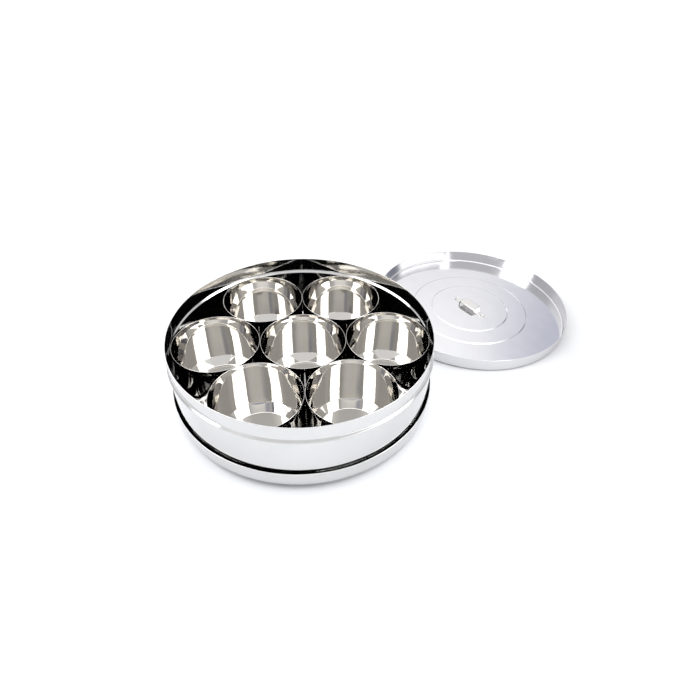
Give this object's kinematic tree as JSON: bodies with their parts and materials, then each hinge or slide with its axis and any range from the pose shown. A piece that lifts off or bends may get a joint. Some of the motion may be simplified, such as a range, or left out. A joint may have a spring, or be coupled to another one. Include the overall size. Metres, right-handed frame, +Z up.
{
  "type": "spice box",
  "caption": "Round stainless steel spice box with loose round cups inside, standing in its upturned outer lid, and a dished inner lid with a strap handle laid beside it.",
  "frame": {"origin": "centre of the outer lid's flat resting face, on the axis of the box", "axes": "+Z up along the axis of the box, +X along the middle row of cups towards the side where the inner lid lies, +Y towards the back"},
  "size_m": [0.3676, 0.3003, 0.0622],
  "materials": {
    "box_steel": "mirror polished, fine turning lines",
    "cup_steel": "mirror polished",
    "lid_steel": "satin polished in circles",
    "handle_steel": "polished strip, worn edges"
  },
  "bodies": {
    "outer_lid": {"outer_lid": "box_steel"},
    "box": {"box_body": "box_steel"},
    "cup_centre": {"cup_centre": "cup_steel"},
    "cup_right": {"cup_right": "cup_steel"},
    "cup_back_right": {"cup_back_right": "cup_steel"},
    "cup_back_left": {"cup_back_left": "cup_steel"},
    "cup_left": {"cup_left": "cup_steel"},
    "cup_front_left": {"cup_front_left": "cup_steel"},
    "cup_front_right": {"cup_front_right": "cup_steel"},
    "inner_lid": {"inner_lid": "lid_steel", "lid_handle": "handle_steel"}
  },
  "joints": [
    {"name": "box_lift", "type": "slide", "parent": "outer_lid", "child": "box", "axis": [0, 0, 1], "range_m": [0, 0.04]},
    {"name": "cup_centre_lift", "type": "slide", "parent": "box", "child": "cup_centre", "axis": [0, 0, 1], "range_m": [0, 0.065]},
    {"name": "cup_right_lift", "type": "slide", "parent": "box", "child": "cup_right", "axis": [0, 0, 1], "range_m": [0, 0.065]},
    {"name": "cup_back_right_lift", "type": "slide", "parent": "box", "child": "cup_back_right", "axis": [0, 0, 1], "range_m": [0, 0.065]},
    {"name": "cup_back_left_lift", "type": "slide", "parent": "box", "child": "cup_back_left", "axis": [0, 0, 1], "range_m": [0, 0.065]},
    {"name": "cup_left_lift", "type": "slide", "parent": "box", "child": "cup_left", "axis": [0, 0, 1], "range_m": [0, 0.065]},
    {"name": "cup_front_left_lift", "type": "slide", "parent": "box", "child": "cup_front_left", "axis": [0, 0, 1], "range_m": [0, 0.065]},
    {"name": "cup_front_right_lift", "type": "slide", "parent": "box", "child": "cup_front_right", "axis": [0, 0, 1], "range_m": [0, 0.065]},
    {"name": "inner_lid_lift", "type": "slide", "parent": "outer_lid", "child": "inner_lid", "axis": [0, 0, 1], "range_m": [0, 0.07]}
  ]
}
